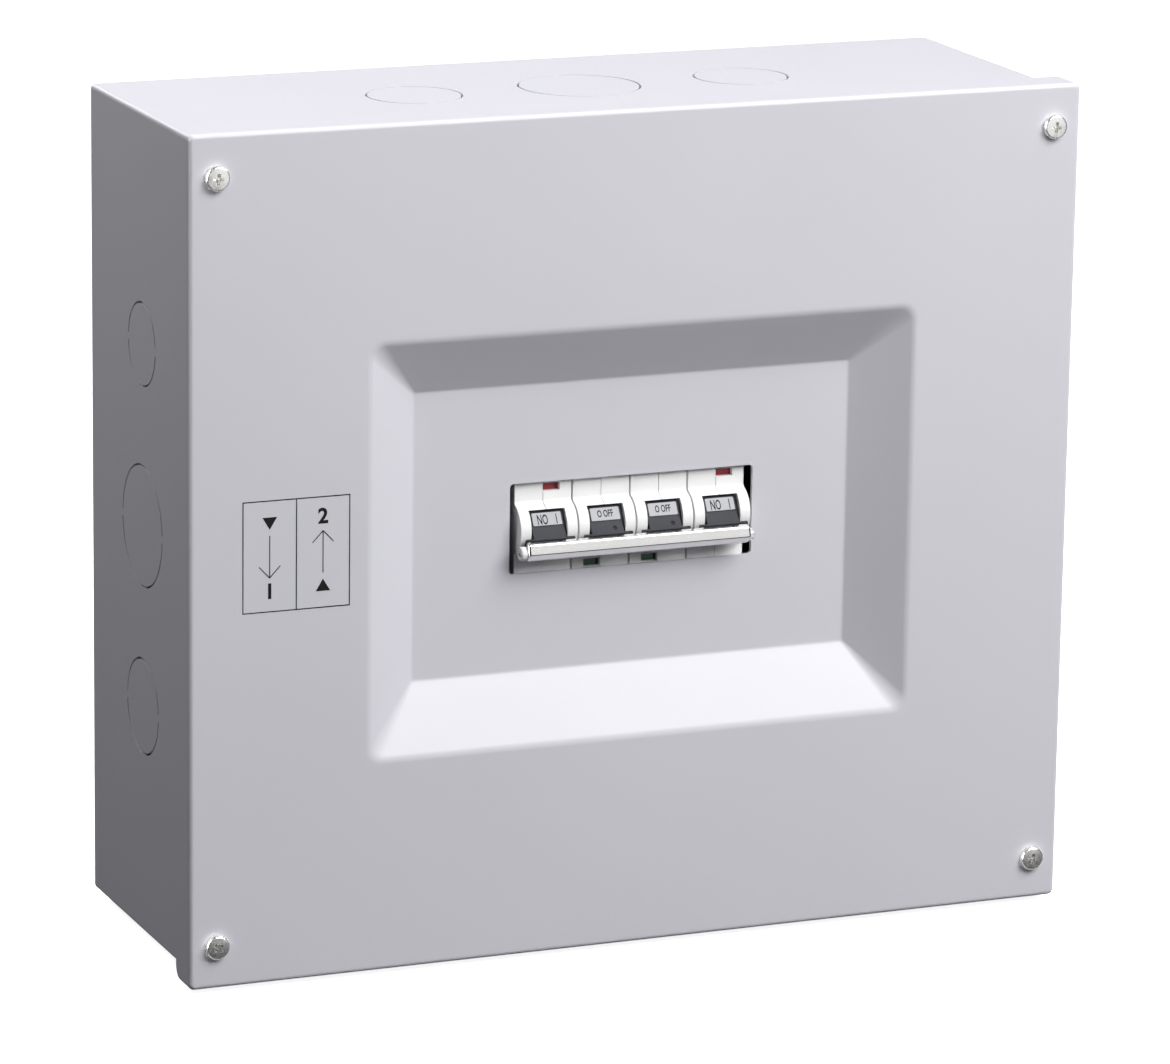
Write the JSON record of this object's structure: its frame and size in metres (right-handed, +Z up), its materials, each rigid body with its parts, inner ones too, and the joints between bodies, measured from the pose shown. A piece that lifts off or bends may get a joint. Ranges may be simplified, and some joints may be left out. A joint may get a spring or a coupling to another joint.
{
  "type": "manual transfer switch",
  "caption": "Wall-mounted grey sheet-steel box with a recessed screwed cover and a ganged breaker row thrown by a tie-bar handle between line and generator supply.",
  "frame": {"origin": "centre of the box's flat back face, which sits on the wall", "axes": "+Z up, -Y out of the cover towards the user, +X to the right as seen from the front"},
  "size_m": [0.276, 0.1015, 0.249],
  "materials": {
    "powder_coat": "smooth satin cool-grey powder coat on sheet steel",
    "nickel": "bright nickel plate",
    "galvanised": "zinc-plated rolled steel",
    "brass": "drawn brass",
    "insulator": "moulded dark red insulator",
    "case_plastic": "moulded white thermoset",
    "toggle_plastic": "moulded charcoal plastic",
    "flag_plastic": "two-colour indicator tongue",
    "copper": "tinned copper conductor",
    "clip_plastic": "moulded black plastic",
    "polished_steel": "polished formed steel strip"
  },
  "bodies": {
    "enclosure": {"enclosure_box": "powder_coat", "front_cover": "powder_coat", "cover_screw_1": "nickel", "cover_screw_2": "nickel", "cover_screw_3": "nickel", "cover_screw_4": "nickel", "din_rail": "galvanised", "rail_bracket_left": "galvanised", "rail_bracket_right": "galvanised", "rail_screw_left": "nickel", "rail_screw_right": "nickel", "neutral_bar": "brass", "ground_bar": "brass", "neutral_insulator_left": "insulator", "neutral_insulator_right": "insulator", "pole_1_case_left": "case_plastic", "pole_1_case_right": "case_plastic", "pole_1_pivot_pin": "nickel", "pole_1_line_terminal": "copper", "pole_1_load_terminal": "copper", "pole_2_case_left": "case_plastic", "pole_2_case_right": "case_plastic", "pole_2_pivot_pin": "nickel", "pole_2_line_terminal": "copper", "pole_2_load_terminal": "copper", "pole_3_case_left": "case_plastic", "pole_3_case_right": "case_plastic", "pole_3_pivot_pin": "nickel", "pole_3_line_terminal": "copper", "pole_3_load_terminal": "copper", "pole_4_case_left": "case_plastic", "pole_4_case_right": "case_plastic", "pole_4_pivot_pin": "nickel", "pole_4_line_terminal": "copper", "pole_4_load_terminal": "copper", "load_jumper_left": "copper", "load_jumper_right": "copper"},
    "handle": {"tie_bar": "polished_steel", "tie_rod": "nickel", "tie_nut": "nickel", "pole_1_toggle": "toggle_plastic", "pole_2_toggle": "toggle_plastic", "pole_3_toggle": "toggle_plastic", "pole_4_toggle": "toggle_plastic"},
    "flag_1": {"pole_1_flag": "flag_plastic"},
    "contact_1": {"pole_1_contact_arm": "copper"},
    "rail_clip_1": {"pole_1_rail_clip": "clip_plastic"},
    "flag_2": {"pole_2_flag": "flag_plastic"},
    "contact_2": {"pole_2_contact_arm": "copper"},
    "rail_clip_2": {"pole_2_rail_clip": "clip_plastic"},
    "flag_3": {"pole_3_flag": "flag_plastic"},
    "contact_3": {"pole_3_contact_arm": "copper"},
    "rail_clip_3": {"pole_3_rail_clip": "clip_plastic"},
    "flag_4": {"pole_4_flag": "flag_plastic"},
    "contact_4": {"pole_4_contact_arm": "copper"},
    "rail_clip_4": {"pole_4_rail_clip": "clip_plastic"}
  },
  "joints": [
    {"name": "handle_throw", "type": "hinge", "parent": "enclosure", "child": "handle", "pos_m": [0.0014, -0.0853, 0.0009], "axis": [-1, 0, 0], "range_deg": [0, 56]},
    {"name": "flag_1_slide", "type": "slide", "parent": "enclosure", "child": "flag_1", "axis": [0, 0, 1], "range_m": [0, 0.0033]},
    {"name": "contact_1_swing", "type": "hinge", "parent": "enclosure", "child": "contact_1", "pos_m": [-0.0259, -0.0653, 0.0049], "axis": [1, 0, 0], "range_deg": [0, 12.5]},
    {"name": "rail_clip_1_slide", "type": "slide", "parent": "enclosure", "child": "rail_clip_1", "axis": [0, 0, 1], "range_m": [0, 0.004], "stiffness_N_per_m": 400, "springref_m": -0.001},
    {"name": "flag_2_slide", "type": "slide", "parent": "enclosure", "child": "flag_2", "axis": [0, 0, 1], "range_m": [0, 0.0033]},
    {"name": "contact_2_swing", "type": "hinge", "parent": "enclosure", "child": "contact_2", "pos_m": [-0.0077, -0.0653, -0.0031], "axis": [1, 0, 0], "range_deg": [0, 12.5]},
    {"name": "rail_clip_2_slide", "type": "slide", "parent": "enclosure", "child": "rail_clip_2", "axis": [0, 0, -1], "range_m": [0, 0.004], "stiffness_N_per_m": 400, "springref_m": -0.001},
    {"name": "flag_3_slide", "type": "slide", "parent": "enclosure", "child": "flag_3", "axis": [0, 0, 1], "range_m": [0, 0.0033]},
    {"name": "contact_3_swing", "type": "hinge", "parent": "enclosure", "child": "contact_3", "pos_m": [0.0105, -0.0653, -0.0031], "axis": [1, 0, 0], "range_deg": [0, 12.5]},
    {"name": "rail_clip_3_slide", "type": "slide", "parent": "enclosure", "child": "rail_clip_3", "axis": [0, 0, -1], "range_m": [0, 0.004], "stiffness_N_per_m": 400, "springref_m": -0.001},
    {"name": "flag_4_slide", "type": "slide", "parent": "enclosure", "child": "flag_4", "axis": [0, 0, 1], "range_m": [0, 0.0033]},
    {"name": "contact_4_swing", "type": "hinge", "parent": "enclosure", "child": "contact_4", "pos_m": [0.0287, -0.0653, 0.0049], "axis": [1, 0, 0], "range_deg": [0, 12.5]},
    {"name": "rail_clip_4_slide", "type": "slide", "parent": "enclosure", "child": "rail_clip_4", "axis": [0, 0, 1], "range_m": [0, 0.004], "stiffness_N_per_m": 400, "springref_m": -0.001}
  ],
  "couplings": [
    {"joint": "flag_1_slide", "follows": "handle_throw", "m_per_rad": 0.003274},
    {"joint": "contact_1_swing", "follows": "handle_throw", "ratio": 0.21429},
    {"joint": "flag_2_slide", "follows": "handle_throw", "m_per_rad": 0.003274},
    {"joint": "contact_2_swing", "follows": "handle_throw", "ratio": 0.21429},
    {"joint": "flag_3_slide", "follows": "handle_throw", "m_per_rad": 0.003274},
    {"joint": "contact_3_swing", "follows": "handle_throw", "ratio": 0.21429},
    {"joint": "flag_4_slide", "follows": "handle_throw", "m_per_rad": 0.003274},
    {"joint": "contact_4_swing", "follows": "handle_throw", "ratio": 0.21429}
  ]
}
